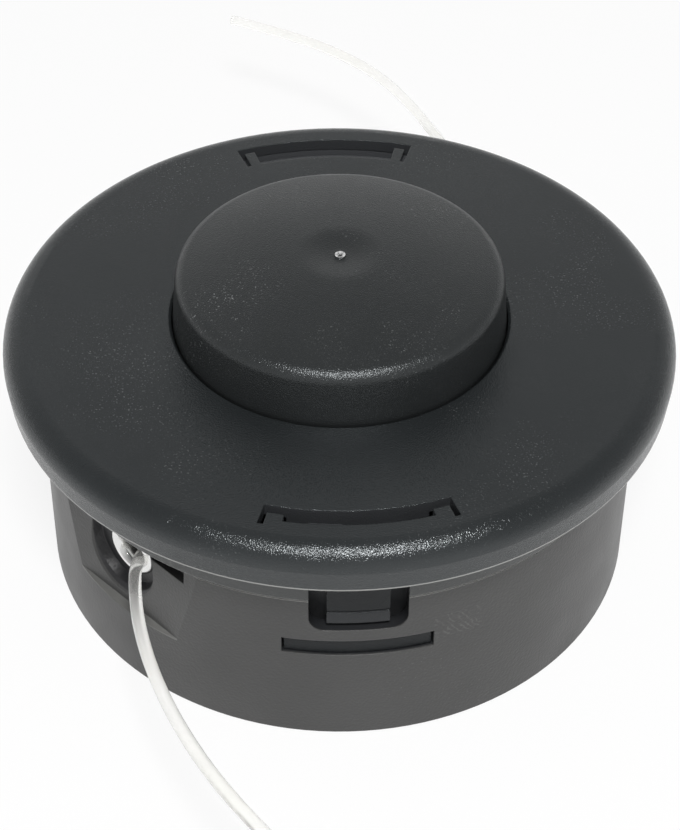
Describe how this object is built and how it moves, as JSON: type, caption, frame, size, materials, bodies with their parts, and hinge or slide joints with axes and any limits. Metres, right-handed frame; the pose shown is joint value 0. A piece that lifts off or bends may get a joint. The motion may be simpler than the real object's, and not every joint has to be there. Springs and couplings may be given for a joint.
{
  "type": "bump feed trimmer head",
  "caption": "Round drum trimmer head with a wide rounded cover, domed bump knob, press-tab latches and curved nylon lines leaving through metal eyelets.",
  "frame": {"origin": "centre of the drum's base, where the head stands with its bump knob up", "axes": "+Z along the axis of rotation towards the bump knob, Y through the two latches"},
  "size_m": [0.13, 0.2893, 0.0687],
  "materials": {
    "drum_plastic": "satin moulded nylon",
    "cover_plastic": "semi-gloss moulded nylon with fine grain",
    "knob_plastic": "fine-grained moulded nylon",
    "spool_plastic": "moulded nylon",
    "nut_steel": "zinc-plated steel",
    "spring_steel": "drawn spring wire",
    "eyelet_metal": "bright turned metal",
    "line_nylon": "translucent nylon monofilament"
  },
  "bodies": {
    "housing": {"housing": "drum_plastic", "cover": "cover_plastic", "drive_nut": "nut_steel", "eyelet_front": "eyelet_metal", "eyelet_rear": "eyelet_metal", "line_front": "line_nylon", "line_rear": "line_nylon"},
    "spring": {"spring": "spring_steel"},
    "spool": {"spool": "spool_plastic", "bump_knob": "knob_plastic", "winding_lower": "line_nylon", "winding_upper": "line_nylon"}
  },
  "joints": [
    {"name": "spool_turn", "type": "hinge", "parent": "housing", "child": "spring", "pos_m": [0, 0, 0], "axis": [0, 0, 1], "range_deg": [0, 30]},
    {"name": "bump", "type": "slide", "parent": "spring", "child": "spool", "axis": [0, 0, 1], "range_m": [-0.008, 0], "stiffness_N_per_m": 1500, "springref_m": 0.01, "deforming": ["spring"]}
  ],
  "couplings": [
    {"joint": "spool_turn", "follows": "bump", "rad_per_m": -65.4}
  ]
}
